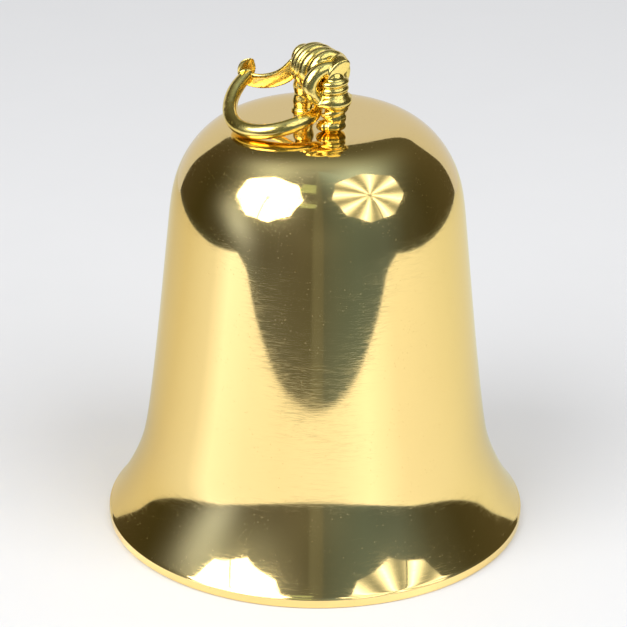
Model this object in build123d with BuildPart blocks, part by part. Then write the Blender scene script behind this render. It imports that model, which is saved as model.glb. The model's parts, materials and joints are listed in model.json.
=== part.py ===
"""Brass temple bell: a turned shell, a cast crown staple with a hanging loop that swings on it,
and a clapper hung inside on a clevis. Millimetres, +Z up, origin on the bell's axis at the mouth plane."""
from build123d import *
import os
from math import cos, radians, sin

os.makedirs("parts", exist_ok=True)

# ---- driving dimensions -------------------------------------------------------------------
crown_height = 152.0        # top of the shell above the mouth
seat_radius = 17.0          # flat turned on the crown for the staple's feet
crown_wall = 4.5            # shell thickness under the staple
shoulder_wall = 3.4
waist_wall = 2.9
bow_wall = 4.7              # thickest ring of the flare, where the clapper strikes
lip_radius = 75.3           # outermost ring of the mouth
lip_band = 3.5              # height of the upright band round the mouth
lip_inner_radius = 70.4
lip_round = 0.8
lip_top_round = 0.4

staple_angle = 28.0         # cross bar's turn from the front-to-back line, in degrees
foot_spread = 11.0          # each foot's distance from the bell's axis
pivot_height = 171.0        # cross bar's centre
staple_rod = 3.0            # radius of the staple's rod
staple_corner = 3.4         # bend between leg and cross bar, at the rod's centre
foot_radius = 5.0
foot_height = 3.2
tail_radius = 2.5           # M5 tail cast under each foot
tail_hole_radius = 2.7
running_gap = 0.08          # radial clearance of every turning fit

bar_radius = 2.6            # round bar of the hanging loop
ribbon_thickness = 1.9
ribbon_width = 5.4
sleeve_back = -7.2          # the sleeve's two ends along the cross bar
sleeve_front = 4.3
ridge_count = 4             # rounded turns round the sleeve
ridge_depth = 1.2
sleeve_radius = 7.9

pad_thickness = 0.8         # fibre pad between bridge and shell
bridge_thickness = 2.5
bridge_width = 12.0
washer_thickness = 1.0
spring_washer_thickness = 1.3
nut_height = 4.0
nut_across_flats = 8.0
tail_end_drop = 1.0         # tail showing below its nut

clevis_gap = 8.0            # between the two ears
ear_thickness = 2.0
ear_radius = 5.0
pin_radius = 2.0
pin_head_radius = 3.4
pin_head = 1.2
eye_thickness = 5.6
eye_radius = 5.0
bush_radius = 3.1
clapper_pivot = 134.0       # height of the clapper's pin
ball_height = 24.0          # height of the ball's centre
ball_radius = 12.0
rod_radius = 2.5
rod_tail_radius = 2.0       # threaded end that carries the ball

# ---- frames -------------------------------------------------------------------------------
along = Vector(sin(radians(staple_angle)), -cos(radians(staple_angle)), 0)
side = Vector(-cos(radians(staple_angle)), -sin(radians(staple_angle)), 0)
# Local x runs along the cross bar to the front, local y is up, local z is the loop's side.
crown_frame = Plane(origin=(0, 0, 0), x_dir=along, z_dir=side)
pivot_axis = Axis(origin=(0, 0, pivot_height), direction=along)


def crown_point(x, up, out):
    """A point given along the cross bar, up, and out to the loop's side."""
    return crown_frame.from_local_coords((x, up, out))


def crown_level(x, height):
    """A level plane at one place along the staple, for pieces that stand on it."""
    return Plane(origin=crown_point(x, height, 0), x_dir=along, z_dir=(0, 0, 1))


def crown_section(x, height=pivot_height):
    """An upright plane across the staple's cross bar: x away from the loop's side, y up."""
    return Plane(origin=crown_point(x, height, 0), x_dir=side * -1, z_dir=along)


def start_plane(path):
    """The plane square to a path at its beginning."""
    return Plane(origin=path @ 0, z_dir=path % 0)


def write(piece, name):
    piece.part.label = name
    export_step(piece.part, f"parts/{name}.step")


# ---- bell shell ---------------------------------------------------------------------------
# Outer stations: radius, height, steepness from level in degrees, wall thickness.
shoulder_stations = [
    (seat_radius, crown_height, 0.0, crown_wall),
    (34.4, 149.6, 21.5, 3.9),
    (40.2, 145.7, 42.0, shoulder_wall),
    (44.0, 141.6, 52.0, shoulder_wall),
    (49.9, 130.2, 72.7, 3.1),
    (52.3, 116.5, 84.2, waist_wall),
]
flare_stations = [
    (58.2, 58.5, 84.2, waist_wall),
    (61.1, 37.8, 79.0, 3.5),
    (66.6, 18.6, 67.0, bow_wall),
    (71.3, 9.3, 61.0, bow_wall),
]


def outer_point(station):
    return station[0], station[1]


def inner_point(station):
    radius, height, steepness, wall = station
    return radius - wall * sin(radians(steepness)), height - wall * cos(radians(steepness))


def downhill(station):
    return cos(radians(station[2])), -sin(radians(station[2]))


lip_edge = (lip_radius - lip_top_round, lip_band)
with BuildPart() as bell_shell:
    with BuildSketch(Plane.XZ):
        with BuildLine():
            Line((0, crown_height), outer_point(shoulder_stations[0]))
            Spline(
                [outer_point(s) for s in shoulder_stations],
                tangents=[downhill(shoulder_stations[0]), downhill(shoulder_stations[-1])],
            )
            Line(outer_point(shoulder_stations[-1]), outer_point(flare_stations[0]))
            Spline(
                [outer_point(s) for s in flare_stations] + [lip_edge],
                tangents=[downhill(flare_stations[0]), downhill(flare_stations[-1])],
            )
            RadiusArc(lip_edge, (lip_radius, lip_band - lip_top_round), lip_top_round)
            Line((lip_radius, lip_band - lip_top_round), (lip_radius, lip_round))
            RadiusArc((lip_radius, lip_round), (lip_radius - lip_round, 0), lip_round)
            Line((lip_radius - lip_round, 0), (lip_inner_radius, 0))
            Line((lip_inner_radius, 0), inner_point(flare_stations[-1]))
            Spline(
                [inner_point(s) for s in reversed(flare_stations)],
                tangents=[
                    Vector(*downhill(flare_stations[-1])) * -1,
                    Vector(*downhill(flare_stations[0])) * -1,
                ],
            )
            Line(inner_point(flare_stations[0]), inner_point(shoulder_stations[-1]))
            Spline(
                [inner_point(s) for s in reversed(shoulder_stations)],
                tangents=[
                    Vector(*downhill(shoulder_stations[-1])) * -1,
                    Vector(*downhill(shoulder_stations[0])) * -1,
                ],
            )
            Line(inner_point(shoulder_stations[0]), (0, crown_height - crown_wall))
            Line((0, crown_height - crown_wall), (0, crown_height))
        make_face()
    revolve(axis=Axis.Z)
    with BuildSketch(crown_level(0, crown_height)):
        with Locations((-foot_spread, 0), (foot_spread, 0)):
            Circle(tail_hole_radius)
    extrude(amount=-crown_wall, mode=Mode.SUBTRACT)
write(bell_shell, "bell_shell")

# ---- crown staple: two feet, a cross bar, and what is cast on its front end -----------------
collar_x = 7.1              # ring between the sleeve and the scroll
collar_radius = 5.7
collar_rod = 2.1
scroll_x = 10.2             # C scroll round the front leg
scroll_radius = 6.2
scroll_rod = 2.4
scroll_drop = 2.5           # its centre below the cross bar's
scroll_open_from = 62.0     # the scroll is open on the side away from the loop
scroll_sweep = 230.0
stub_front = 14.2           # oval stub with a flat cut face
stub_length = 6.5
stub_offset = 1.2           # away from the loop's side
stub_rise = 3.3
stub_half_length = 4.8
stub_half_width = 3.1
stub_lean = 42.0
leg_turn_heights = (164.9, 167.4, 169.9)
leg_turn_radius = 3.0       # turns wound round the front leg
leg_turn_rod = 1.35
knuckle_radius = 4.2        # swelling low on the front leg
rear_knuckle_radius = 4.0
tail_length = crown_wall + pad_thickness + bridge_thickness + washer_thickness
tail_length += spring_washer_thickness + nut_height + tail_end_drop
leg_start = crown_height + foot_height / 2
with BuildPart() as crown_staple:
    with BuildLine(crown_frame) as staple_path:
        FilletPolyline(
            (-foot_spread, leg_start),
            (-foot_spread, pivot_height),
            (foot_spread, pivot_height),
            (foot_spread, leg_start),
            radius=staple_corner,
        )
    with BuildSketch(start_plane(staple_path.line)):
        Circle(staple_rod)
    sweep(path=staple_path.line)
    for foot_x in (-foot_spread, foot_spread):
        with BuildSketch(crown_level(foot_x, crown_height)):
            Circle(foot_radius)
        with BuildSketch(crown_level(foot_x, crown_height + foot_height)):
            Circle(staple_rod + 0.2)
        loft()
        with BuildSketch(crown_level(foot_x, crown_height)):
            Circle(tail_radius)
        extrude(amount=-tail_length)
    with BuildLine(crown_section(scroll_x, pivot_height - scroll_drop)) as scroll_path:
        CenterArc((0, 0), scroll_radius, scroll_open_from, scroll_sweep)
    with BuildSketch(start_plane(scroll_path.line)):
        Circle(scroll_rod)
    sweep(path=scroll_path.line)
    with Locations(crown_section(collar_x)):
        Torus(collar_radius, collar_rod)
        Cylinder(collar_radius, collar_rod)
    with BuildSketch(crown_section(stub_front)):
        with Locations((stub_offset, stub_rise)):
            Ellipse(stub_half_length, stub_half_width, rotation=stub_lean)
    extrude(amount=-stub_length)
    for turn_height in leg_turn_heights:
        with Locations(crown_level(foot_spread, turn_height)):
            Torus(leg_turn_radius, leg_turn_rod)
    with Locations(crown_point(foot_spread + 0.6, pivot_height - 8.0, -0.6)):
        Sphere(knuckle_radius)
    with Locations(crown_point(-foot_spread - 0.8, pivot_height, 0)):
        Sphere(rear_knuckle_radius)
write(crown_staple, "crown_staple")

# ---- hanging loop: ridged sleeve on the cross bar, round bar, ribbon and its curled tip -----
# Places along the cross bar, up, and out to the side; the loop lies on the shell's shoulder.
bar_places = [
    (1.7, pivot_height - 4.6, 0.0),
    (3.9, 160.8, 2.2),
    (8.6, 158.4, 6.6),
    (11.6, 158.0, 11.8),
    (11.6, 156.4, 18.6),
    (8.0, 154.9, 25.6),
    (-1.2, 154.3, 30.0),
    (-14.4, 157.4, 27.0),
    (-22.4, 162.6, 17.2),
]
ribbon_places = [
    (-22.8, 162.9, 17.0),
    (-19.6, 161.1, 8.9),
    (-13.3, 164.6, 6.4),
    (-6.6, 170.4, 4.6),
]
sleeve_end_radius = sleeve_radius - ridge_depth
ridge_pitch = (sleeve_front - sleeve_back) / ridge_count
with BuildPart() as hanging_loop:
    with BuildSketch(crown_frame):
        with BuildLine():
            Line((sleeve_back, pivot_height), (sleeve_back, pivot_height + sleeve_end_radius))
            for ridge in range(ridge_count):
                ridge_start = sleeve_back + ridge * ridge_pitch
                ThreePointArc(
                    (ridge_start, pivot_height + sleeve_end_radius),
                    (ridge_start + ridge_pitch / 2, pivot_height + sleeve_radius),
                    (ridge_start + ridge_pitch, pivot_height + sleeve_end_radius),
                )
            Line((sleeve_front, pivot_height + sleeve_end_radius), (sleeve_front, pivot_height))
            Line((sleeve_front, pivot_height), (sleeve_back, pivot_height))
        make_face()
    revolve(axis=pivot_axis)
    with BuildLine() as bar_path:
        Spline([crown_point(*place) for place in bar_places])
    with BuildSketch(start_plane(bar_path.line)):
        Circle(bar_radius)
    sweep(path=bar_path.line)
    with BuildLine() as ribbon_path:
        Spline([crown_point(*place) for place in ribbon_places])
    ribbon_start = Plane(
        origin=ribbon_path.line @ 0,
        x_dir=(ribbon_path.line % 0).cross(Vector(0, 0, 1)),
        z_dir=ribbon_path.line % 0,
    )
    with BuildSketch(ribbon_start):
        RectangleRounded(ribbon_thickness, ribbon_width, ribbon_thickness * 0.4)
    sweep(path=ribbon_path.line)
    with BuildSketch(Plane(origin=crown_point(-24.0, 167.0, 14.6), x_dir=(1, 0, 0), z_dir=(0, -1, 0.25))):
        Ellipse(2.9, 5.2)
    extrude(amount=ribbon_thickness / 2, both=True)
    with BuildSketch(crown_section(sleeve_back)):
        Circle(staple_rod + running_gap)
    extrude(amount=sleeve_front - sleeve_back, mode=Mode.SUBTRACT)
write(hanging_loop, "hanging_loop")

# ---- hanger inside the shell ----------------------------------------------------------------
pad_top = crown_height - crown_wall
bridge_top = pad_top - pad_thickness
washer_top = bridge_top - bridge_thickness
spring_top = washer_top - washer_thickness
nut_top = spring_top - spring_washer_thickness
bridge_half_length = foot_spread + bridge_width / 2
ear_height = washer_top - clapper_pivot


def tail_washer(top, thickness, outer_radius, name):
    """A pair of rings, one on each tail of the staple."""
    with BuildPart() as pair:
        with BuildSketch(crown_level(0, top)):
            with Locations((-foot_spread, 0), (foot_spread, 0)):
                Circle(outer_radius)
                Circle(tail_hole_radius, mode=Mode.SUBTRACT)
        extrude(amount=-thickness)
    write(pair, name)


with BuildPart() as bridge_pad:
    with BuildSketch(crown_level(0, pad_top)):
        SlotOverall(2 * bridge_half_length, bridge_width)
        with Locations((-foot_spread, 0), (foot_spread, 0)):
            Circle(tail_hole_radius, mode=Mode.SUBTRACT)
    extrude(amount=-pad_thickness)
write(bridge_pad, "bridge_pad")

with BuildPart() as clapper_bridge:
    with BuildSketch(crown_level(0, bridge_top)):
        SlotOverall(2 * bridge_half_length, bridge_width)
        with Locations((-foot_spread, 0), (foot_spread, 0)):
            Circle(tail_hole_radius, mode=Mode.SUBTRACT)
    extrude(amount=-bridge_thickness)
    for ear_start in (clevis_gap / 2, -clevis_gap / 2 - ear_thickness):
        with BuildSketch(crown_section(ear_start, clapper_pivot)):
            Circle(ear_radius)
            with Locations((0, ear_height / 2)):
                Rectangle(2 * ear_radius, ear_height)
            Circle(pin_radius + running_gap, mode=Mode.SUBTRACT)
        extrude(amount=ear_thickness)
write(clapper_bridge, "clapper_bridge")

tail_washer(washer_top, washer_thickness, 5.0, "staple_washers")

with BuildPart() as spring_washers:
    with BuildSketch(crown_level(0, spring_top)):
        with Locations((-foot_spread, 0), (foot_spread, 0)):
            Circle(4.4)
            Circle(tail_hole_radius, mode=Mode.SUBTRACT)
        with Locations((-foot_spread, 3.5), (foot_spread, 3.5)):
            Rectangle(0.7, 4, rotation=20, mode=Mode.SUBTRACT)
    extrude(amount=-spring_washer_thickness)
write(spring_washers, "staple_spring_washers")

with BuildPart() as staple_nuts:
    with BuildSketch(crown_level(0, nut_top)):
        with Locations((-foot_spread, 0), (foot_spread, 0)):
            RegularPolygon(nut_across_flats / 2, 6, major_radius=False)
            Circle(tail_radius + 0.05, mode=Mode.SUBTRACT)
    extrude(amount=-nut_height)
write(staple_nuts, "staple_nuts")

# ---- clevis pin and its split ring ----------------------------------------------------------
pin_start = clevis_gap / 2 + ear_thickness + 0.2
pin_end = -pin_start - 3.4
ring_x = -pin_start - 1.6
with BuildPart() as clapper_pin:
    with BuildSketch(crown_section(pin_end, clapper_pivot)):
        Circle(pin_radius)
    extrude(amount=pin_start - pin_end)
    with BuildSketch(crown_section(pin_start, clapper_pivot)):
        Circle(pin_head_radius)
    extrude(amount=pin_head)
    with BuildSketch(crown_level(ring_x, clapper_pivot)):
        Circle(0.75)
    extrude(amount=pin_radius + 1, both=True, mode=Mode.SUBTRACT)
write(clapper_pin, "clapper_pin")

with BuildPart() as split_pin:
    with BuildSketch(crown_level(ring_x, clapper_pivot + 3.2)):
        Circle(0.6)
    extrude(amount=-6.4)
    with Locations(crown_section(ring_x, clapper_pivot - 4.6)):
        Torus(1.5, 0.6)
write(split_pin, "clapper_split_pin")

# ---- clapper --------------------------------------------------------------------------------
side_washer_thickness = (clevis_gap - eye_thickness) / 2 - 0.1
with BuildPart() as side_washers:
    for washer_start in (eye_thickness / 2 + 0.05, -eye_thickness / 2 - 0.05 - side_washer_thickness):
        with BuildSketch(crown_section(washer_start, clapper_pivot)):
            Circle(4.2)
            Circle(pin_radius + running_gap, mode=Mode.SUBTRACT)
        extrude(amount=side_washer_thickness)
write(side_washers, "clevis_side_washers")

with BuildPart() as eye_bush:
    with BuildSketch(crown_section(-eye_thickness / 2, clapper_pivot)):
        Circle(bush_radius)
        Circle(pin_radius + running_gap, mode=Mode.SUBTRACT)
    extrude(amount=eye_thickness)
write(eye_bush, "clapper_eye_bush")

jam_nut_height = 3.2
cap_nut_height = 5.5
ball_nut_flats = 7.0
ball_flat = 3.2             # radius of the flats turned on the ball for its nuts
flat_height = (ball_radius**2 - ball_flat**2) ** 0.5
collar_top = ball_height + flat_height + jam_nut_height
with BuildPart() as clapper_rod:
    with BuildSketch(crown_section(-eye_thickness / 2, clapper_pivot)):
        Circle(eye_radius)
        Circle(bush_radius, mode=Mode.SUBTRACT)
    extrude(amount=eye_thickness)
    with BuildSketch(crown_level(0, collar_top)):
        Circle(rod_radius)
    extrude(amount=clapper_pivot - collar_top - bush_radius - 0.6)
    with BuildSketch(crown_level(0, collar_top)):
        Circle(rod_tail_radius)
    extrude(amount=-(collar_top - ball_height + flat_height + cap_nut_height - 1.5))
write(clapper_rod, "clapper_rod")

with BuildPart() as clapper_ball:
    with Locations((0, 0, ball_height)):
        Sphere(ball_radius)
        Cylinder(rod_tail_radius + 0.05, 2 * ball_radius, mode=Mode.SUBTRACT)
    split(bisect_by=Plane.XY.offset(ball_height + flat_height), keep=Keep.BOTTOM)
    split(bisect_by=Plane.XY.offset(ball_height - flat_height), keep=Keep.TOP)
write(clapper_ball, "clapper_ball")

with BuildPart() as jam_nut:
    with BuildSketch(Plane.XY.offset(ball_height + flat_height)):
        RegularPolygon(ball_nut_flats / 2, 6, major_radius=False)
        Circle(rod_tail_radius + 0.05, mode=Mode.SUBTRACT)
    extrude(amount=jam_nut_height)
write(jam_nut, "ball_jam_nut")

cap_hex_height = 3.5
with BuildPart() as cap_nut:
    with BuildSketch(Plane.XY.offset(ball_height - flat_height)):
        RegularPolygon(ball_nut_flats / 2, 6, major_radius=False)
    extrude(amount=-cap_hex_height)
    with Locations((0, 0, ball_height - flat_height - cap_hex_height)):
        Sphere(ball_nut_flats / 2 - 0.1)
    with BuildSketch(Plane.XY.offset(ball_height - flat_height)):
        Circle(rod_tail_radius + 0.05)
    extrude(amount=-(cap_nut_height - 1.4), mode=Mode.SUBTRACT)
write(cap_nut, "ball_cap_nut")
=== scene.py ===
"""Brass temple bell in Blender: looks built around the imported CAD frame, in metres, +Z up.

The shell is turned from its outline, the staple and the loop are fused castings, and the pieces inside
the bell are the CAD's own. The stage repeats what the polished brass mirrors in the photo.
"""
import json
from math import cos, pi, radians, sin, tan

import bpy
import numpy as np
from mathutils import Matrix, Vector, noise


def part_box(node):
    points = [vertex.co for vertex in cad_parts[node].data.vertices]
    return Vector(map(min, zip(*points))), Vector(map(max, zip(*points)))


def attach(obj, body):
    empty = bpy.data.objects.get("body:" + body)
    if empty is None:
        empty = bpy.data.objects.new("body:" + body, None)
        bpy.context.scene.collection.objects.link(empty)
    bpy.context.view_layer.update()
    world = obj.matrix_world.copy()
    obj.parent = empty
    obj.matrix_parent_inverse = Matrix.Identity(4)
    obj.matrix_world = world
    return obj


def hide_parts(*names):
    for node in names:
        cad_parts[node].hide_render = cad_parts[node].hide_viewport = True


MM = 0.001

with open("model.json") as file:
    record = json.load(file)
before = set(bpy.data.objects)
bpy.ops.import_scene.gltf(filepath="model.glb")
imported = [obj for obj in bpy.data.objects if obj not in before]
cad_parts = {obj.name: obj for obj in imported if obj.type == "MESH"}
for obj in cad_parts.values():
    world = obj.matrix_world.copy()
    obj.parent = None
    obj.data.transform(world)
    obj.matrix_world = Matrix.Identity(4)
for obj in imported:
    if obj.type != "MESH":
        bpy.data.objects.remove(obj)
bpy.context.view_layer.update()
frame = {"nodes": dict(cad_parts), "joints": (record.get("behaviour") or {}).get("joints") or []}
nodes = frame["nodes"]
shell_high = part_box("bell_shell")[1]
loop_joint = next(j for j in frame["joints"] if j["name"] == "loop_swing")

# ---- shell, in millimetres -------------------------------------------------------------------
CROWN_HEIGHT = shell_high.z / MM
CROWN_WALL = 4.5
SEAT_RADIUS = 17.0          # the flat crown under the staple
LIP_RADIUS = shell_high.x / MM
LIP_INNER_RADIUS = LIP_RADIUS - 4.9
LIP_BAND = 3.5              # height of the upright band round the mouth
LIP_TOP_ROUND = 0.4
LIP_ROUND = 0.8
LIP_INNER_ROUND = 0.5
INSIDE_END = 1.5            # height at which the inside meets the lip's rounding

# The shoulder's outside: radius and height, from the staple's seat to below the top of the wall.
SHOULDER_PLACES = [
    (SEAT_RADIUS, CROWN_HEIGHT), (34.4, 149.6), (40.2, 145.7), (44.0, 141.6), (49.9, 130.2), (52.3, 116.5),
    (54.3, 97.1),
]
WALL_TOP = (52.3, 116.5)
# The outside below it: height, and steepness in degrees from level.
FLARE_SLOPES = [
    (116.5, 84.2), (90.0, 84.2), (67.0, 83.7), (58.5, 83.4), (42.0, 82.2), (34.6, 80.0), (30.0, 76.3),
    (25.0, 71.0), (18.6, 65.5), (15.0, 63.5), (12.0, 61.5), (9.0, 58.5), (6.0, 55.5), (LIP_BAND, 53.0),
]
# Wall thickness by height.
WALLS = [
    (LIP_BAND, 4.0), (9.3, 4.7), (18.6, 4.7), (37.8, 3.5), (58.5, 2.9), (116.5, 2.9), (141.6, 3.4),
    (149.6, 3.9), (CROWN_HEIGHT, CROWN_WALL),
]
SHOULDER_COUNT = 150        # points along the shoulder
SHOULDER_CLEAR = 0.3        # height kept between its last point and the wall's first
WALL_STEP = 0.1             # height between the steps that the wall's slope is added up in
SLOPE_EASING = 15           # steps to each side over which the slope is averaged
STRAIGHT_STEPS = 560        # steps down the near-straight wall, before the flare
STRAIGHT_STRIDE = 28        # of these steps, one in so many becomes a ring of the mesh
FLARE_STRIDE = 6
SHELL_SEGMENTS = 320
MEAN_RADIUS = 55.0

# ---- crown casting, in millimetres: x along the cross bar to the front, up, out to the loop ------
STAPLE_ANGLE = radians(28.0)
CROWN_X = np.array([sin(STAPLE_ANGLE), -cos(STAPLE_ANGLE), 0.0])
CROWN_OUT = np.array([-cos(STAPLE_ANGLE), -sin(STAPLE_ANGLE), 0.0])
CROWN_UP = np.array([0.0, 0.0, 1.0])
PIVOT_HEIGHT = loop_joint["pos_m"][2] / MM
FOOT_SPREAD = 11.0          # from the bell's axis to each leg
CROSS_BAR_RADIUS = 2.9
TAIL_RADIUS = 2.45
TAIL_HEIGHTS = (153.0, 146.0, 138.6)
VOXEL = 0.25                # of the remesh that fuses a casting
EASE_PASSES = 4
CAST_GRAIN = 0.55           # lumps per millimetre on a cast skin
STAPLE_ROUGHNESS = 0.035    # height of those lumps
LOOP_ROUGHNESS = 0.025

# Swellings of the legs: height and radius. Places along a rope: x, up, out and radius.
REAR_SWELLINGS = [
    (151.6, 4.0), (153.4, 3.5), (156.0, 3.9), (158.6, 3.3), (161.2, 3.8), (164.0, 3.2), (167.0, 3.6),
    (170.5, 3.3),
]
FRONT_SWELLINGS = [(151.6, 2.8), (156.0, 3.0), (160.0, 3.0), (164.0, 3.2), (168.0, 3.6), (171.0, 3.8)]
LEG_TURN_HEIGHTS = (164.9, 167.4, 169.9)
LEG_TURN_RADII = (2.9, 3.9)     # along the cross bar, and out
LEG_TURN_ROD = 1.35
LEG_TURN_REACH = 2.5            # radians to each side of the front; the turns are open at the back
LOBE_PLACES = [
    (12.4, 162.8, 6.0, 1.0), (13.6, 163.3, 3.4, 2.3), (14.1, 162.9, -0.2, 2.9), (13.4, 163.3, -3.8, 2.1),
    (12.4, 164.0, -5.8, 0.8),
]
LOWER_COLLAR_PLACES = [
    (11.6, 158.4, 4.2, 0.9), (13.4, 159.2, 2.0, 1.5), (13.8, 159.9, -0.8, 1.7), (12.8, 160.7, -3.6, 1.4),
    (10.8, 161.0, -4.6, 0.9),
]
# Lumps: place, radii, rows and sides. The front foot's have few sides, as if cut by hand.
REAR_LUMPS = [
    ((-FOOT_SPREAD, 152.5, 0.0), (4.4, 1.4, 4.3), 14, 24),
    ((-10.6, 171.6, 0.4), (2.9, 5.2, 4.6), 14, 24),
]
FRONT_LUMPS = [
    ((11.5, 157.2, -0.4), (4.1, 3.2, 4.3), 12, 9),
    ((11.3, 154.3, 0.2), (4.4, 2.5, 4.9), 12, 8),
    ((10.6, 154.2, 3.0), (3.3, 2.0, 3.4), 10, 8),
    ((10.8, 152.5, 0.4), (3.0, 1.2, 3.6), 8, 10),
]
COLLAR_X = 7.2
COLLAR_RISE = 0.8
COLLAR_RADIUS = 6.2
COLLAR_ROD = 2.1
COLLAR_FROM, COLLAR_SWEEP = -70, 300
STUB_PLACES = [(6.0, 174.2, -1.2, 4.2), (10.0, 174.8, -1.0, 4.9), (13.6, 174.5, -0.8, 4.7)]
SCROLL_PLACES = [
    (10.2, 174.9, -0.6, 2.2), (10.3, 174.8, 2.8, 2.5), (10.2, 172.8, 6.8, 2.6), (10.1, 169.0, 8.7, 2.7),
    (10.2, 165.4, 7.2, 2.6), (10.6, 163.2, 3.6, 2.3), (11.0, 162.7, -1.2, 2.3), (11.2, 163.4, -4.8, 2.0),
]

SLEEVE_BORE = 3.15
SLEEVE_OUTER = 5.6
SLEEVE_BACK, SLEEVE_FRONT = -7.2, 4.3
SLEEVE_TURNS = [(-5.1, 2.0, 6.1), (-2.1, 1.6, 6.9), (1.8, 2.4, 6.2)]    # x, rod, radius
SLEEVE_LEAN = 0.5
# The loop's round bar, from under the sleeve forward, round the shoulder and back.
BAR_PLACES = [
    (1.6, 165.0, 0.0, 2.3), (2.4, 162.2, 0.9, 2.2), (5.4, 159.6, 2.9, 2.0), (8.8, 158.2, 6.0, 2.1),
    (11.2, 157.5, 11.4, 2.6), (11.5, 156.4, 18.4, 2.7), (8.0, 154.9, 25.4, 2.7), (-1.2, 154.4, 30.0, 2.7),
    (-13.6, 157.3, 27.4, 2.6), (-21.6, 161.9, 19.4, 2.5), (-23.6, 163.4, 15.8, 2.3),
]
RIBBON_PLACES = [
    (-23.8, 162.5, 16.4, 2.6), (-21.6, 161.8, 13.8, 2.7), (-17.6, 162.5, 10.6, 2.8), (-13.0, 165.0, 7.5, 2.9),
    (-9.4, 168.2, 6.1, 2.9), (-6.6, 171.4, 5.6, 2.6),
]
LEAF_PLACES = [
    (-23.6, 161.6, 16.2, 2.4), (-23.9, 164.4, 16.0, 3.1), (-23.6, 166.8, 15.6, 3.1), (-22.9, 168.6, 15.0, 2.2),
    (-22.2, 169.6, 14.5, 1.0),
]

# ---- stage, in metres and degrees; azimuths count from the front to the right ---------------------
TABLE_HALF_WIDTH = 0.57
TABLE_FRONT = -0.33
TABLE_BACK = 0.50
EDGE_HAZE = 0.09            # how far the light on the table's edge reaches past it
EDGE_COLOUR = (0.045, 0.068, 0.095)
FLOOR_REACH = 40.0
WALL_HALF_WIDTH = 0.50
WALL_HEIGHT = 0.46
WALL_CORNER = 0.16
DOME_CENTRE = Vector((0.0, 0.0, 0.13))      # of the shoulder that mirrors umbrellas and windows
UMBRELLA_DISTANCE = 1.7
UMBRELLA_RIBS = 8
UMBRELLA_RINGS = 6
UMBRELLA_DEPTH = 0.25       # as a share of its radius
UMBRELLA_SCALLOP = 0.985    # how far the cloth pulls in between ribs
# Name, azimuth, elevation, width, strength, and how dark its folds are.
UMBRELLAS = [
    ("umbrella_left", -49.0, 41.0, 46.0, 9.0, 0.62),
    ("umbrella_right", 53.5, 42.5, 49.5, 3.4, 0.90),
]
SOFT_LIGHT_POWER = 18.6
AMBIENT = 0.46
BACKDROP = (0.80, 0.825, 0.85)
WINDOW_DISTANCE = 2.4
WINDOWS = [(-22, -2, 55, 66), (-16, -1.5, 38, 42.5)]    # azimuths, then elevations
# The dim room's tone by azimuth.
ROOM_TONES = [
    (-179, (0.10, 0.10, 0.07)), (-135, (0.075, 0.065, 0.040)), (-105, (0.052, 0.047, 0.020)),
    (-80, (0.07, 0.07, 0.055)), (-30, (0.115, 0.12, 0.12)), (-14, (0.095, 0.095, 0.08)),
    (-3.4, (0.080, 0.080, 0.056)), (-2.6, (0.130, 0.140, 0.120)), (4.6, (0.122, 0.132, 0.112)),
    (5.4, (0.085, 0.105, 0.105)), (14, (0.10, 0.135, 0.15)), (30, (0.115, 0.165, 0.20)),
    (52, (0.115, 0.155, 0.19)), (72, (0.075, 0.080, 0.065)), (95, (0.062, 0.058, 0.032)),
    (135, (0.095, 0.085, 0.050)), (179, (0.10, 0.10, 0.07)),
]
# Soft light on its walls and ceiling: azimuth, elevation, width, colour.
ROOM_GLOWS = [
    (-95, 68, 18, (0.50, 0.60, 0.74)),
    (75, 66, 18, (0.42, 0.58, 0.80)),
    (130, 66, 20, (0.13, 0.18, 0.22)),
    (-72, 18, 13, (0.30, 0.36, 0.50)),
    (-63, 5, 11, (0.30, 0.37, 0.54)),
    (-55, -4, 10, (0.14, 0.17, 0.26)),
    (-50, 40, 24, (0.44, 0.52, 0.64)),
    (54, 42, 24, (0.10, 0.13, 0.16)),
    (-170, 75, 18, (0.08, 0.09, 0.09)),
    (0, 3, 22, (0.06, 0.065, 0.075)),
]
# Painted light: how bright the paper is in the brass, by azimuth, as half of its gain, painted into its colour.
PAPER_PAINTED_GAIN = [
    (-180, (0.43, 0.44, 0.38)), (-133.2, (0.41, 0.39, 0.30)), (-108, (0.44, 0.42, 0.33)),
    (-79.2, (0.50, 0.51, 0.50)), (-64.8, (0.68, 0.70, 0.76)), (-43.2, (0.60, 0.60, 0.62)),
    (-21.6, (0.56, 0.56, 0.56)), (10.8, (0.58, 0.58, 0.58)), (32.4, (0.68, 0.68, 0.70)),
    (54, (0.54, 0.55, 0.54)), (79.2, (0.52, 0.53, 0.50)), (108, (0.49, 0.50, 0.43)),
    (154.8, (0.46, 0.46, 0.37)), (180, (0.43, 0.44, 0.38)),
]
CAMERA_PLACE = Vector((0.0, -1.0397, 0.5531))
CAMERA_TARGET = Vector((0.0, 0.0, 0.078))
CAMERA_ROLL = 0.45
CAMERA_LENS = 183.7
CAMERA_SHIFT = -0.005


# ---- mesh helpers ----------------------------------------------------------------------------
def crown_point(x, up, out):
    """A place given along the cross bar, up, and out to the loop's side, in millimetres."""
    return CROWN_X * x + CROWN_UP * up + CROWN_OUT * out


def turns(count):
    """Evenly spaced angles round a circle."""
    return np.linspace(0.0, 2 * pi, count, endpoint=False)


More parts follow.
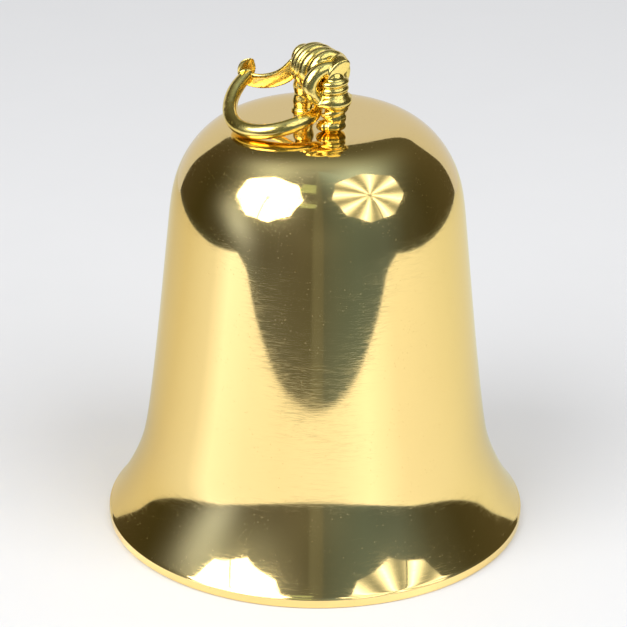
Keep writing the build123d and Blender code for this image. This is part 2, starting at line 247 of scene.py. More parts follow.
def smooth_curve(points, count):
    """Points along a curve of continuous curvature through the given ones, evenly by chord length."""
    points = np.array(points, float)
    steps = np.linalg.norm(np.diff(points[:, :3], axis=0), axis=1)
    knots = np.concatenate([[0.0], np.cumsum(steps)])
    last = len(points) - 1
    system = np.eye(last + 1)
    wanted = np.zeros_like(points)
    for i in range(1, last):
        before, after = steps[i - 1], steps[i]
        system[i, i - 1:i + 2] = before, 2 * (before + after), after
        wanted[i] = 6 * ((points[i + 1] - points[i]) / after - (points[i] - points[i - 1]) / before)
    bend = np.linalg.solve(system, wanted)
    at = np.linspace(0.0, knots[-1], count)
    span = np.clip(np.searchsorted(knots, at, side="right") - 1, 0, last - 1)
    length = steps[span][:, None]
    to_end = (knots[span + 1] - at)[:, None]
    from_start = (at - knots[span])[:, None]
    cubic = (bend[span] * to_end**3 + bend[span + 1] * from_start**3) / (6 * length)
    line = (points[span] / length - bend[span] * length / 6) * to_end
    line += (points[span + 1] / length - bend[span + 1] * length / 6) * from_start
    return cubic + line


def new_object(name, vertices, faces, smooth=True):
    """A mesh object from vertices in millimetres."""
    mesh = bpy.data.meshes.new(name)
    mesh.from_pydata([tuple(v) for v in np.asarray(vertices) * MM], [], faces)
    mesh.validate()
    mesh.update()
    if smooth:
        mesh.shade_smooth()
    made = bpy.data.objects.new(name, mesh)
    bpy.context.scene.collection.objects.link(made)
    return made


def lathe(name, profile, segments):
    """A closed solid of revolution: the profile starts and ends on the axis."""
    rings = profile[1:-1]
    vertices = [(0.0, 0.0, profile[0][1]), (0.0, 0.0, profile[-1][1])]
    for radius, height in rings:
        vertices += [(radius * cos(t), radius * sin(t), height) for t in turns(segments)]

    def at(ring, turn):
        return 2 + ring * segments + turn % segments

    faces = []
    for turn in range(segments):
        faces.append((0, at(0, turn), at(0, turn + 1)))
        for ring in range(len(rings) - 1):
            faces.append((at(ring, turn), at(ring + 1, turn), at(ring + 1, turn + 1), at(ring, turn + 1)))
        faces.append((at(len(rings) - 1, turn + 1), at(len(rings) - 1, turn), 1))
    return new_object(name, vertices, faces)


def skin(ring_count, around, reverse=False):
    """Faces over a stack of rings: a cap, the bands between the rings and a second cap."""
    faces = [tuple(range(around))[::-1]]
    for ring in range(ring_count - 1):
        for t in range(around):
            a, b = ring * around + t, ring * around + (t + 1) % around
            faces.append((a, b, b + around, a + around))
    faces.append(tuple(range((ring_count - 1) * around, ring_count * around)))
    return [face[::-1] for face in faces] if reverse else faces


def rope(places, steps=60, around=20, section=(1.0, 1.0), hint=None, blunt=1.0, squareness=1.0):
    """Vertices and faces of a closed tube through places: x, up, out and radius in crown terms.

    section scales it along the hint's direction and across it. Without a hint it follows the curve
    untwisted. blunt sets how far its ends bulge, and a squareness below 1 squares its section.
    """
    curve = smooth_curve(places, steps)
    centres = np.array([crown_point(*p[:3]) for p in curve])
    radii = np.maximum(curve[:, 3], 0.05)
    tangents = np.gradient(centres, axis=0)
    tangents /= np.linalg.norm(tangents, axis=1)[:, None]
    across = np.array((0.31, 0.53, 0.79))
    end_angles = np.linspace(0.0, pi / 2, 6)
    vertices = []
    for i, (centre, tangent, radius) in enumerate(zip(centres, tangents, radii)):
        if hint is not None:
            across = np.array(hint, float)
        across = across - tangent * across.dot(tangent)
        across /= np.linalg.norm(across)
        sideways = np.cross(tangent, across)
        rings = [(0.0, 1.0)]
        if i == 0:
            rings = [(-sin(a), cos(a)) for a in end_angles[-2::-1]]
        if i == steps - 1:
            rings = [(sin(a), cos(a)) for a in end_angles[:-1]]
        for forward, scale in rings:
            for t in turns(around):
                up_share = np.sign(cos(t)) * abs(cos(t)) ** squareness * section[0]
                side_share = np.sign(sin(t)) * abs(sin(t)) ** squareness * section[1]
                offset = across * up_share + sideways * side_share
                bulge = forward * radius * min(section) * blunt
                vertices.append(centre + tangent * bulge + offset * radius * scale)
    return vertices, skin(len(vertices) // around, around)


def lump(place, radii, rows, around):
    """An ellipsoid in crown terms: place and radii along the cross bar, up and out."""
    vertices = []
    for row in range(1, rows):
        tilt = pi * row / rows
        for t in turns(around):
            x = place[0] + radii[0] * sin(tilt) * cos(t)
            up = place[1] + radii[1] * cos(tilt)
            out = place[2] + radii[2] * sin(tilt) * sin(t)
            vertices.append(crown_point(x, up, out))
    return vertices, skin(rows - 1, around, reverse=True)


def leg(x, swellings):
    """An upright cast leg through its swellings."""
    return rope([(x, up, 0.0, radius) for up, radius in swellings], steps=90)


def ring_arc(x, centre_up, radius, start, sweep, rod, count, lean=0.0):
    """Places on an arc round a line parallel to the cross bar; angles from the loop's side, upward."""
    angles = [radians(start + sweep * i / (count - 1)) for i in range(count)]
    return [(x + lean * sin(a), centre_up + radius * sin(a), radius * cos(a), rod) for a in angles]


def pipe(start, end, outer, inner, around=48):
    """A short pipe round the cross bar's line, as one closed surface."""
    vertices, faces = [], []
    for x, radius in ((start, inner), (start, outer), (end, outer), (end, inner)):
        for t in turns(around):
            vertices.append(crown_point(x, PIVOT_HEIGHT + radius * sin(t), radius * cos(t)))
    for ring in range(4):
        low, high = ring * around, (ring + 1) % 4 * around
        for t in range(around):
            following = (t + 1) % around
            faces.append((low + t, high + t, high + following, low + following))
    return vertices, faces


def fuse(name, shapes, roughness):
    """One casting from overlapping closed shapes: remeshed, eased at its joints, with a cast skin."""
    vertices, faces = [], []
    for shape_vertices, shape_faces in shapes:
        base = len(vertices)
        vertices += shape_vertices
        faces += [tuple(i + base for i in face) for face in shape_faces]
    made = new_object(name, vertices, faces)
    remesh = made.modifiers.new("remesh", "REMESH")
    remesh.mode = "VOXEL"
    remesh.voxel_size = VOXEL * MM
    ease = made.modifiers.new("ease", "SMOOTH")
    ease.factor = 0.5
    ease.iterations = EASE_PASSES
    depsgraph = bpy.context.evaluated_depsgraph_get()
    mesh = bpy.data.meshes.new_from_object(made.evaluated_get(depsgraph))
    made.modifiers.clear()
    made.data = mesh
    places, normals = np.zeros(len(mesh.vertices) * 3), np.zeros(len(mesh.vertices) * 3)
    mesh.vertices.foreach_get("co", places)
    mesh.vertices.foreach_get("normal", normals)
    places, normals = places.reshape(-1, 3), normals.reshape(-1, 3)
    heights = [noise.fractal(Vector(p) / MM * CAST_GRAIN, 1.0, 2.0, 3) for p in places]
    places += normals * np.array(heights)[:, None] * roughness * MM
    mesh.vertices.foreach_set("co", places.ravel())
    mesh.update()
    mesh.shade_smooth()
    return made


# ---- node helpers ----------------------------------------------------------------------------
def add_node(tree, kind, inputs=None, **settings):
    """A shader node; an input is a value or the socket that drives it."""
    made = tree.nodes.new(kind)
    for key, value in settings.items():
        setattr(made, key, value)
    for key, value in (inputs or {}).items():
        if isinstance(value, bpy.types.NodeSocket):
            tree.links.new(value, made.inputs[key])
        else:
            made.inputs[key].default_value = value
    return made


def calc(tree, operation, *values, clamp=False):
    """The result of a Math node."""
    inputs = dict(enumerate(values))
    return add_node(tree, "ShaderNodeMath", inputs, operation=operation, use_clamp=clamp).outputs[0]


def vector_calc(tree, operation, *values):
    """The result of a Vector Math node."""
    made = add_node(tree, "ShaderNodeVectorMath", dict(enumerate(values)), operation=operation)
    return made.outputs["Value" if operation == "DOT_PRODUCT" else "Vector"]


def mix_colour(tree, share, first, second, blend="MIX"):
    """A mix of two colours; a colour or the share may be a value or a socket."""
    made = add_node(tree, "ShaderNodeMix", data_type="RGBA", blend_type=blend)
    for socket, value in ((made.inputs[0], share), (made.inputs[6], first), (made.inputs[7], second)):
        if isinstance(value, bpy.types.NodeSocket):
            tree.links.new(value, socket)
        elif socket.type == "RGBA":
            socket.default_value = (*value, 1.0)
        else:
            socket.default_value = value
    return made.outputs[2]


def combine(tree, x, y, z):
    """A vector from its three values."""
    return add_node(tree, "ShaderNodeCombineXYZ", {0: x, 1: y, 2: z}).outputs[0]


def separate(tree, vector):
    """A vector's three values."""
    return add_node(tree, "ShaderNodeSeparateXYZ", {0: vector}).outputs


def ramp(tree, share, stops):
    """A colour ramp: stops are (place, colour)."""
    made = add_node(tree, "ShaderNodeValToRGB", {0: share})
    elements = made.color_ramp.elements
    while len(elements) > 1:
        elements.remove(elements[-1])
    elements[0].position = stops[0][0]
    elements[0].color = (*stops[0][1], 1.0)
    for place, colour in stops[1:]:
        elements.new(place).color = (*colour, 1.0)
    return made.outputs[0]


def azimuth_ramp(tree, x, y, stops):
    """A colour by direction round the bell: stops are (azimuth, colour)."""
    turn = calc(tree, "ARCTAN2", x, calc(tree, "MULTIPLY", y, -1.0))
    share = calc(tree, "ADD", calc(tree, "DIVIDE", turn, 2 * pi), 0.5)
    return ramp(tree, share, [(azimuth / 360 + 0.5, colour) for azimuth, colour in stops])


def polar(tree, x, y):
    """Distance from the upright axis, and the angle round it."""
    radius = calc(tree, "SQRT", calc(tree, "ADD", calc(tree, "MULTIPLY", x, x), calc(tree, "MULTIPLY", y, y)))
    return radius, calc(tree, "ARCTAN2", y, x)


def noise_value(tree, vector, scale, detail=2.0, roughness=0.5, distortion=0.0):
    """Noise from 0 to 1 over a vector."""
    return add_node(tree, "ShaderNodeTexNoise", {
        "Vector": vector, "Scale": scale, "Detail": detail, "Roughness": roughness, "Distortion": distortion,
    }).outputs[0]


def cell_distance(tree, vector, scale):
    """Distance to the middle of the nearest of many scattered cells."""
    return add_node(tree, "ShaderNodeTexVoronoi", {"Vector": vector, "Scale": scale}).outputs["Distance"]


def object_place(tree):
    """The shaded point in its object's own coordinates, in metres."""
    return add_node(tree, "ShaderNodeTexCoord").outputs["Object"]


def new_material(name):
    """An empty node material and its tree."""
    material = bpy.data.materials.new(name)
    material.use_nodes = True
    material.node_tree.nodes.clear()
    return material, material.node_tree


def close_material(tree, shader):
    """Connect a shader to the material's output."""
    add_node(tree, "ShaderNodeOutputMaterial", {"Surface": shader})


def close_surface(tree, colour, rough, height, depth, metallic=1.0):
    """Close a piece's material: one Principled shader, with a bump of a depth in metres."""
    bump = add_node(tree, "ShaderNodeBump", {"Height": height, "Strength": 1.0, "Distance": depth})
    shader = add_node(tree, "ShaderNodeBsdfPrincipled", {
        "Base Color": colour, "Metallic": metallic, "Roughness": rough, "Normal": bump.outputs[0],
    })
    close_material(tree, shader.outputs[0])


# ---- materials -------------------------------------------------------------------------------
def hairlines(tree, arc, down, lean, length, width):
    """Fine scratches that run round the bell, leaning by a share of their length."""
    leaned = calc(tree, "ADD", down, calc(tree, "MULTIPLY", arc, lean))
    vector = combine(tree, calc(tree, "DIVIDE", arc, length), calc(tree, "DIVIDE", leaned, width), lean * 9)
    return noise_value(tree, vector, 1.0, detail=3.0, roughness=0.6)


def polished_brass():
    """Mirror brass with wiping scratches: most of it sharp, the scratches and pits rough."""
    material, tree = new_material("polished_brass")
    place = object_place(tree)
    x, y, z = separate(tree, place)
    radius, turn = polar(tree, x, y)
    arc = calc(tree, "MULTIPLY", turn, MEAN_RADIUS)
    down = calc(tree, "MULTIPLY", calc(tree, "SUBTRACT", radius, z), 1 / MM)
    ripples = hairlines(tree, arc, down, 0.02, 9.0, 0.45)
    scratches = 0.0
    for lean, width, length in ((0.03, 0.20, 9.0), (-0.05, 0.24, 7.0), (0.22, 0.28, 5.0), (-0.16, 0.28, 5.0)):
        strands = hairlines(tree, arc, down, lean, length, width)
        line = calc(tree, "MULTIPLY", calc(tree, "SUBTRACT", strands, 0.54), 8.0, clamp=True)
        scratches = calc(tree, "ADD", scratches, line)
        ripples = calc(tree, "MULTIPLY_ADD", strands, 0.12, ripples)
    wear = noise_value(tree, place, 60.0, detail=3.0)
    wear = calc(tree, "MULTIPLY", calc(tree, "SUBTRACT", wear, 0.15), 1.6, clamp=True)
    scratches = calc(tree, "MULTIPLY", scratches, wear, clamp=True)
    pits = calc(tree, "LESS_THAN", cell_distance(tree, place, 700.0), 0.10)
    pits = calc(tree, "MULTIPLY", pits, calc(tree, "GREATER_THAN", noise_value(tree, place, 120.0), 0.52))
    height = calc(tree, "SUBTRACT", calc(tree, "MULTIPLY", ripples, 0.5), calc(tree, "MULTIPLY", pits, 0.8))
    haze = noise_value(tree, place, 26.0, detail=4.0)
    tone = noise_value(tree, place, 9.0, detail=3.0)
    colour = mix_colour(tree, tone, (0.93, 0.67, 0.25), (0.95, 0.72, 0.31))
    colour = mix_colour(tree, pits, colour, (0.86, 0.60, 0.22))
    marks = calc(tree, "MAXIMUM", calc(tree, "MULTIPLY", scratches, 0.45), pits)
    rough = calc(tree, "MULTIPLY_ADD", marks, 0.30, calc(tree, "MULTIPLY_ADD", haze, 0.035, 0.012))
    close_surface(tree, colour, rough, height, 0.0042 * MM)
    return material


def cast_brass():
    """Brass as cast and hand polished: painted shade, a darker and deeper colour in the hollows that the
    occlusion node finds, and a slightly uneven skin.
    """
    material, tree = new_material("cast_brass")
    place = object_place(tree)
    hollow_shade_ao = add_node(tree, "ShaderNodeAmbientOcclusion", {"Distance": 4 * MM}, samples=8).outputs["AO"]
    tone = noise_value(tree, place, 140.0, detail=4.0)
    colour = mix_colour(tree, tone, (0.93, 0.68, 0.17), (0.97, 0.77, 0.27))
    # Painted shade: the colour turns darker and deeper where the occlusion node finds close surfaces.
    colour = mix_colour(tree, calc(tree, "SUBTRACT", 1.0, hollow_shade_ao), colour, (0.92, 0.64, 0.10))
    grain = noise_value(tree, place, 900.0, detail=3.0)
    pits = calc(tree, "LESS_THAN", cell_distance(tree, place, 600.0), 0.10)
    height = calc(tree, "SUBTRACT", grain, calc(tree, "MULTIPLY", pits, 1.2))
    rough = calc(tree, "MULTIPLY_ADD", grain, 0.15, 0.12)
    close_surface(tree, colour, rough, height, 0.009 * MM)
    return material


def turned_metal(name, dark, light, rough, ring_pitch):
    """Machined metal: fine turning marks round each piece, and a slightly patchy tone."""
    material, tree = new_material(name)
    place = object_place(tree)
    marks = noise_value(tree, vector_calc(tree, "MULTIPLY", place, (60.0, 60.0, 1 / ring_pitch)), 1.0)
    tone = noise_value(tree, place, 220.0, detail=4.0)
    colour = mix_colour(tree, tone, dark, light)
    close_surface(tree, colour, calc(tree, "MULTIPLY_ADD", tone, 0.12, rough), marks, 0.012 * MM)
    return material


def plain_hide():
    """Undyed leather: drawn-out fibres with fine pores."""
    material, tree = new_material("plain_hide")
    place = object_place(tree)
    strands = noise_value(tree, vector_calc(tree, "MULTIPLY", place, (2.2, 1.0, 1.0)), 900.0, 6.0, 0.7, 1.5)
    colour = mix_colour(tree, strands, (0.15, 0.075, 0.035), (0.36, 0.21, 0.115))
    height = calc(tree, "MULTIPLY_ADD", cell_distance(tree, place, 1600.0), 0.6, strands)
    close_surface(tree, colour, 0.78, height, 0.06 * MM, metallic=0.0)
    return material


def moulded_nylon():
    """Off-white plastic, faintly mottled, with the fine grain of its mould."""
    material, tree = new_material("moulded_nylon")
    place = object_place(tree)
    mottle = noise_value(tree, place, 350.0, detail=4.0)
    grain = noise_value(tree, place, 4000.0)
    colour = mix_colour(tree, mottle, (0.74, 0.71, 0.62), (0.86, 0.84, 0.77))
    close_surface(tree, colour, calc(tree, "MULTIPLY_ADD", grain, 0.2, 0.42), grain, 0.02 * MM, metallic=0.0)
    return material


# ---- pieces ----------------------------------------------------------------------------------
def outside_profile():
    """Radius and height down the outside: a smooth shoulder, then a wall worked out from its slopes."""
    shoulder = smooth_curve([(5.0, CROWN_HEIGHT), (11.0, CROWN_HEIGHT)] + SHOULDER_PLACES, SHOULDER_COUNT)
    shoulder = shoulder[shoulder[:, 1] > WALL_TOP[1] + SHOULDER_CLEAR]
    heights = np.arange(WALL_TOP[1], LIP_BAND, -WALL_STEP)
    steepness = np.interp(-heights, [-h for h, _ in FLARE_SLOPES], [s for _, s in FLARE_SLOPES])
    window = np.ones(2 * SLOPE_EASING + 1) / (2 * SLOPE_EASING + 1)
    for _ in range(2):
        steepness = np.convolve(np.pad(steepness, SLOPE_EASING, mode="edge"), window, mode="valid")
    spread = np.concatenate([[0.0], np.cumsum(WALL_STEP / np.tan(np.radians(steepness)))[:-1]])
    reach = LIP_RADIUS - LIP_TOP_ROUND - WALL_TOP[0]
    wall = np.column_stack([WALL_TOP[0] + spread * reach / spread[-1], heights])
    keep = np.concatenate([
        np.arange(0, STRAIGHT_STEPS, STRAIGHT_STRIDE), np.arange(STRAIGHT_STEPS, len(wall), FLARE_STRIDE),
    ])
    return np.vstack([shoulder, wall[keep]])


def inside_profile(outside):
    """The outside moved in by the wall's thickness, from the crown's middle down to the mouth."""
    slopes = np.gradient(outside, axis=0)
    slopes /= np.linalg.norm(slopes, axis=1)[:, None]
    inward = np.column_stack([slopes[:, 1], -slopes[:, 0]])
    walls = np.interp(outside[:, 1], [h for h, _ in WALLS], [w for _, w in WALLS])
    inside = outside + inward * walls[:, None]
    return inside[(inside[:, 1] > INSIDE_END) & (inside[:, 0] < LIP_INNER_RADIUS)][::2]


def shell_profile():
    """The whole outline, from the crown's middle out, round the lip and back up the inside."""
    outside = outside_profile()
    inside = inside_profile(outside)[::-1]
    outline = [(0.0, CROWN_HEIGHT)] + [tuple(p) for p in outside]
    for a in np.linspace(radians(20), pi / 2, 5):
        outline.append((LIP_RADIUS - LIP_TOP_ROUND * (1 - sin(a)), LIP_BAND - LIP_TOP_ROUND * (1 - cos(a))))
    for a in np.linspace(0, pi / 2, 7):
        outline.append((LIP_RADIUS - LIP_ROUND * (1 - cos(a)), LIP_ROUND * (1 - sin(a))))
    for a in np.linspace(0, pi / 2, 5):
        outline.append((LIP_INNER_RADIUS + LIP_INNER_ROUND * (1 - sin(a)), LIP_INNER_ROUND * (1 - cos(a))))
    return outline + [tuple(p) for p in inside] + [(0.0, CROWN_HEIGHT - CROWN_WALL)]


def front_leg():
    """The front leg with its wound turns, the lobe and collar below them, and the foot."""
    shapes = [leg(FOOT_SPREAD, FRONT_SWELLINGS)]
    for up in LEG_TURN_HEIGHTS:
        shapes.append(rope([
            (FOOT_SPREAD + 0.6 + LEG_TURN_RADII[0] * cos(a), up - 0.25 * sin(a), LEG_TURN_RADII[1] * sin(a),
             LEG_TURN_ROD)
            for a in np.linspace(-LEG_TURN_REACH, LEG_TURN_REACH, 15)
        ]))
    shapes.append(rope(LOBE_PLACES, steps=50))
    shapes.append(rope(LOWER_COLLAR_PLACES, steps=50))
    return shapes + [lump(*values) for values in FRONT_LUMPS]


def front_rolls():
    """What is cast on the bar's front end: a collar, an oval stub with a cut face, and a C scroll."""
    collar = ring_arc(
        COLLAR_X, PIVOT_HEIGHT + COLLAR_RISE, COLLAR_RADIUS, COLLAR_FROM, COLLAR_SWEEP, COLLAR_ROD, count=21,
    )
    stub = rope(
        STUB_PLACES, steps=30, around=32, section=(1.0, 0.60), hint=crown_point(0.0, 0.67, -0.74), blunt=0.12,
    )
    return [rope(collar, steps=120), stub, rope(SCROLL_PLACES, steps=110)]


def staple_shapes():
    """Cross bar, two legs with feet, and the tails that go down through the shell."""
    shapes = [leg(-FOOT_SPREAD, REAR_SWELLINGS)] + [lump(*values) for values in REAR_LUMPS]
    shapes += front_leg() + front_rolls()
    shapes.append(rope([(x, PIVOT_HEIGHT, 0.0, CROSS_BAR_RADIUS) for x in (-FOOT_SPREAD, 0.0, FOOT_SPREAD)]))
    for x in (-FOOT_SPREAD, FOOT_SPREAD):
        shapes.append(rope([(x, up, 0.0, TAIL_RADIUS) for up in TAIL_HEIGHTS], steps=20, blunt=0.3))
    return shapes


def loop_shapes():
    """The sleeve of wound turns, the round bar, the upright ribbon and its curled leaf."""
    shapes = [pipe(SLEEVE_BACK, SLEEVE_FRONT, SLEEVE_OUTER, SLEEVE_BORE)]
    for x, rod, radius in SLEEVE_TURNS:
        turn = ring_arc(x, PIVOT_HEIGHT, radius, 0, 360, rod, count=25, lean=SLEEVE_LEAN)
        shapes.append(rope(turn, steps=120))
    shapes.append(rope(BAR_PLACES, steps=170, around=28))
    shapes.append(rope(
        RIBBON_PLACES, steps=90, around=32, section=(1.0, 0.33), hint=crown_point(-0.2, 0.9, 0.38),
        squareness=0.55,
    ))
    shapes.append(rope(LEAF_PLACES, steps=50, around=36, section=(1.0, 0.27), hint=(0.97, 0.1, 0.1)))
    return shapes


def take_place(piece, node_name, body, material):
    """A rebuilt piece rides its body in place of the CAD node."""
    piece.data.materials.append(material)
    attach(piece, body)
    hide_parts(node_name)


def dress(node_names, material):
    """CAD pieces that keep their shape and get a material."""
    for name in node_names:
        node = nodes[name]
        node.data.materials.clear()
        node.data.materials.append(material)


# ---- stage -----------------------------------------------------------------------------------
def direction_to(azimuth, elevation):
    """The direction to an azimuth and elevation in degrees."""
    a, e = radians(azimuth), radians(elevation)
    return Vector((sin(a) * cos(e), -cos(a) * cos(e), sin(e)))


def room_light(tree, direction):
    """The dim room round the table as the polished brass sees it: its tone by direction."""
    x, y, _ = separate(tree, direction)
    total = azimuth_ramp(tree, x, y, ROOM_TONES)
    for azimuth, elevation, width, colour in ROOM_GLOWS:
        cosine = vector_calc(tree, "DOT_PRODUCT", direction, direction_to(azimuth, elevation))
        off = calc(tree, "SUBTRACT", cosine, 1.0)
        strength = calc(tree, "EXPONENT", calc(tree, "DIVIDE", off, 1 - cos(radians(width))))
        glow = mix_colour(tree, strength, (0.0, 0.0, 0.0), colour)
        total = mix_colour(tree, 1.0, total, glow, "ADD")
    return total


def build_world():
    """Pale to the camera, soft grey as light, and the dim room in the brass."""
    world = bpy.data.worlds.new("studio")
    bpy.context.scene.world = world
    world.use_nodes = True
    world.cycles.sampling_method = "NONE"
    tree = world.node_tree
    tree.nodes.clear()
    path = add_node(tree, "ShaderNodeLightPath").outputs
    direction = add_node(tree, "ShaderNodeTexCoord").outputs["Generated"]
    pale = mix_colour(tree, path["Is Camera Ray"], (AMBIENT, AMBIENT, AMBIENT), BACKDROP)
    seen = mix_colour(tree, path["Is Glossy Ray"], pale, room_light(tree, direction))
    background = add_node(tree, "ShaderNodeBackground", {"Color": seen})
    add_node(tree, "ShaderNodeOutputWorld", {"Surface": background.outputs[0]})


def paper_floor():
    """Pale paper; in the brass its brightness changes by direction as painted light in its colour, and past its
    edges the floor glows with the room's painted light.
    """
    material, tree = new_material("paper_floor")
    path = add_node(tree, "ShaderNodeLightPath").outputs
    geometry = add_node(tree, "ShaderNodeNewGeometry").outputs
    x, y, _ = separate(tree, geometry["Position"])
    past_side = calc(tree, "SUBTRACT", calc(tree, "ABSOLUTE", x), TABLE_HALF_WIDTH)
    past_front = calc(tree, "SUBTRACT", TABLE_FRONT, y)
    past = calc(tree, "MAXIMUM", past_side, past_front)
    dim = calc(tree, "MULTIPLY", calc(tree, "GREATER_THAN", past, 0.0), path["Is Glossy Ray"])
    fibres = noise_value(tree, geometry["Position"], 30.0, detail=3.0)
    tone = mix_colour(tree, fibres, (0.795, 0.80, 0.815), (0.81, 0.815, 0.83))
    # Painted light: for mirrored rays the paper's colour is scaled by direction.
    gain = vector_calc(tree, "MULTIPLY", azimuth_ramp(tree, x, y, PAPER_PAINTED_GAIN), (2.0, 2.0, 2.0))
    painted_mirror_tone = mix_colour(tree, 1.0, tone, gain, "MULTIPLY")
    tone = mix_colour(tree, path["Is Glossy Ray"], tone, painted_mirror_tone)
    paper = add_node(tree, "ShaderNodeBsdfDiffuse", {"Color": tone})
    # Painted light past the table's edges: for mirrored rays the floor glows with the room's tone and a glow
    # along the edge.
    outward = vector_calc(tree, "MULTIPLY", geometry["Incoming"], (-1.0, -1.0, -1.0))
    near_edge = calc(tree, "EXPONENT", calc(tree, "DIVIDE", past, -EDGE_HAZE))
    edge = mix_colour(tree, near_edge, (0.0, 0.0, 0.0), EDGE_COLOUR)
    seen = mix_colour(tree, 1.0, room_light(tree, outward), edge, "ADD")
    room = add_node(tree, "ShaderNodeEmission", {"Color": seen})
    mixed = add_node(tree, "ShaderNodeMixShader", {0: dim, 1: paper.outputs[0], 2: room.outputs[0]})
    close_material(tree, mixed.outputs[0])
    return material


def build_floor():
    """The pale floor under the bell."""
    corners = [(x * FLOOR_REACH / MM, y * FLOOR_REACH / MM, 0) for x, y in ((-1, -1), (1, -1), (1, 1), (-1, 1))]
    floor = new_object("floor", corners, [(0, 1, 2, 3)], smooth=False)
    floor.data.materials.append(paper_floor())


def glowing(name, pattern=None, colour=None, strength=1.0):
    """A light-coloured material that lights nothing, from a pattern or a plain colour."""
    material, tree = new_material(name)
    shade = pattern(tree) if pattern else (*colour, 1.0)
    emission = add_node(tree, "ShaderNodeEmission", {"Color": shade, "Strength": strength})
    close_material(tree, emission.outputs[0])
    material.cycles.emission_sampling = "NONE"
    return material


def card(name, vertices, faces, material):
    """A flat thing on the stage, from vertices in metres, that is seen only in the brass."""
    made = new_object(name, np.array(vertices) / MM, faces, smooth=False)
    made.data.materials.append(material)
    made.visible_camera = False
    made.visible_diffuse = False
    made.visible_shadow = False
    return made


def build_paper_wall():
    """The paper sweeps up behind the bell; its top corners are rounded. Its lit look is painted light: a plain
    glow, seen only in the brass.
    """
    outline = [(-WALL_HALF_WIDTH, 0.0), (WALL_HALF_WIDTH, 0.0)]
    for side_sign, start in ((1, 0.0), (-1, pi / 2)):
        for a in np.linspace(start, start + pi / 2, 9):
            outline.append((
                side_sign * (WALL_HALF_WIDTH - WALL_CORNER) + WALL_CORNER * cos(a),
                WALL_HEIGHT - WALL_CORNER + WALL_CORNER * sin(a),
            ))
    vertices = [(x, TABLE_BACK, z) for x, z in outline]
    # Painted light: the lit paper is a plain glow that lights nothing.
    paper = glowing("paper_wall", colour=(0.68, 0.69, 0.71))
    card("paper_wall", vertices, [tuple(range(len(vertices)))], paper)


def build_windows():
    """Two far window panes between the umbrellas."""
    shade = glowing("window_light", colour=(0.49, 0.62, 0.47))
    for index, (left, right, low, high) in enumerate(WINDOWS):
        corners = [
            DOME_CENTRE + WINDOW_DISTANCE * direction_to(azimuth, elevation)
            for azimuth, elevation in ((left, low), (right, low), (right, high), (left, high))
        ]
        card(f"window_{index}", corners, [(0, 1, 2, 3)], shade)


def umbrella_pattern(tree, contrast):
    """Gores between the ribs: bright folds and greyer valleys, round a small hub, with the pole below."""
    x, y, _ = separate(tree, object_place(tree))
    radius, turn = polar(tree, x, y)
    wave = calc(tree, "SINE", calc(tree, "MULTIPLY", turn, UMBRELLA_RIBS))
    valley = calc(tree, "POWER", calc(tree, "MULTIPLY_ADD", wave, 0.5, 0.5), 0.4)
    bright = calc(tree, "SUBTRACT", 1.0, calc(tree, "MULTIPLY", valley, contrast))
    off_hub = calc(tree, "GREATER_THAN", radius, 0.05)
    off_pole = calc(tree, "MAXIMUM", calc(tree, "GREATER_THAN", calc(tree, "ABSOLUTE", x), 0.014),
                    calc(tree, "GREATER_THAN", y, 0.0))
    level = calc(tree, "MULTIPLY", bright, calc(tree, "MULTIPLY_ADD", off_hub, 0.55, 0.45))
    level = calc(tree, "MULTIPLY", level, calc(tree, "MULTIPLY_ADD", off_pole, 0.85, 0.15))
    return mix_colour(tree, level, (0.03, 0.04, 0.04), (0.98, 1.0, 1.0))


def umbrella_mesh(radius):
    """Vertices and faces of a shallow dish with straight edges between its ribs."""
    spokes = UMBRELLA_RIBS * 2
    vertices = [(0.0, 0.0, 0.0)]
    for ring in range(1, UMBRELLA_RINGS + 1):
        share = ring / UMBRELLA_RINGS
        for spoke in range(spokes):
            reach = radius * share * (1.0 if spoke % 2 == 0 else cos(pi / UMBRELLA_RIBS) * UMBRELLA_SCALLOP)
            turn = pi * spoke / UMBRELLA_RIBS + pi / UMBRELLA_RIBS
            vertices.append((reach * cos(turn), reach * sin(turn), UMBRELLA_DEPTH * radius * share**2))
    faces = []
    for spoke in range(spokes):
        following = (spoke + 1) % spokes
        faces.append((0, 1 + spoke, 1 + following))
        for ring in range(UMBRELLA_RINGS - 1):
            low, high = 1 + ring * spokes, 1 + (ring + 1) * spokes
            faces.append((low + spoke, high + spoke, high + following, low + following))
    return vertices, faces


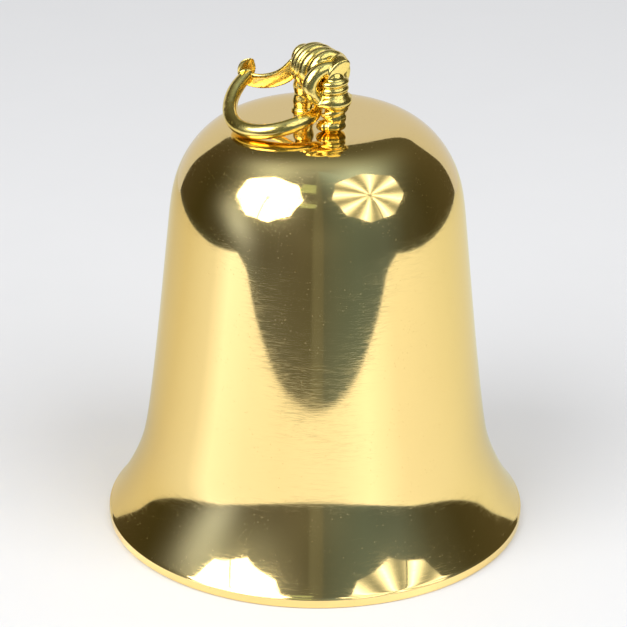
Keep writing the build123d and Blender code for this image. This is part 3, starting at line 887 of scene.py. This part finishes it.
def build_umbrella(name, azimuth, elevation, width, strength, contrast):
    """A lit umbrella by its place and width as seen from the dome, with its soft light."""
    outward = direction_to(azimuth, elevation)
    centre = DOME_CENTRE + outward * UMBRELLA_DISTANCE
    radius = UMBRELLA_DISTANCE * tan(radians(width / 2))
    material = glowing(name, lambda tree: umbrella_pattern(tree, contrast), strength=strength)
    made = card(name, *umbrella_mesh(radius), material)
    made.rotation_mode = "QUATERNION"
    made.rotation_quaternion = (-outward).to_track_quat("Z", "Y")
    made.location = centre
    light_data = bpy.data.lights.new(name + "_light", "AREA")
    light_data.shape = "DISK"
    light_data.size = 2 * radius
    light_data.energy = SOFT_LIGHT_POWER
    light = bpy.data.objects.new(name + "_light", light_data)
    bpy.context.scene.collection.objects.link(light)
    light.location = centre
    light.rotation_mode = "QUATERNION"
    light.rotation_quaternion = outward.to_track_quat("Z", "Y")
    light.visible_glossy = False
    light.visible_camera = False


def build_camera():
    """The camera at the photo's angle."""
    camera_data = bpy.data.cameras.new("camera")
    camera_data.sensor_width = 36.0
    camera_data.lens = CAMERA_LENS
    camera_data.shift_x = CAMERA_SHIFT
    camera = bpy.data.objects.new("camera", camera_data)
    bpy.context.scene.collection.objects.link(camera)
    camera.location = CAMERA_PLACE
    roll = Matrix.Rotation(radians(CAMERA_ROLL), 3, "Z")
    turn = (CAMERA_TARGET - CAMERA_PLACE).to_track_quat("-Z", "Y").to_matrix() @ roll
    camera.rotation_euler = turn.to_euler()
    bpy.context.scene.camera = camera


# ---- build -----------------------------------------------------------------------------------
shell_brass = polished_brass()
crown_brass = cast_brass()
shell = lathe("bell_shell_turned", shell_profile(), SHELL_SEGMENTS)
take_place(shell, "bell_shell", "bell", shell_brass)
staple = fuse("crown_staple_cast", staple_shapes(), STAPLE_ROUGHNESS)
take_place(staple, "crown_staple", "bell", crown_brass)
loop = fuse("hanging_loop_cast", loop_shapes(), LOOP_ROUGHNESS)
take_place(loop, "hanging_loop", "loop", crown_brass)

steel = turned_metal("zinc_steel", (0.42, 0.43, 0.44), (0.60, 0.61, 0.62), 0.26, 0.12 * MM)
rolled_brass = turned_metal("rolled_brass", (0.72, 0.50, 0.20), (0.86, 0.64, 0.28), 0.24, 0.16 * MM)
hide = plain_hide()
fittings = ["clapper_bridge", "staple_washers", "staple_spring_washers", "clapper_pin", "clapper_split_pin"]
dress(fittings, steel)
dress(["staple_nuts", "ball_jam_nut", "ball_cap_nut"], rolled_brass)
dress(["clapper_rod", "clapper_ball"], rolled_brass)
dress(["clapper_eye_bush"], moulded_nylon())
dress(["bridge_pad", "clevis_side_washers"], hide)

build_world()
build_floor()
build_paper_wall()
build_windows()
for umbrella in UMBRELLAS:
    build_umbrella(*umbrella)
build_camera()
bpy.context.scene.view_settings.view_transform = "Standard"
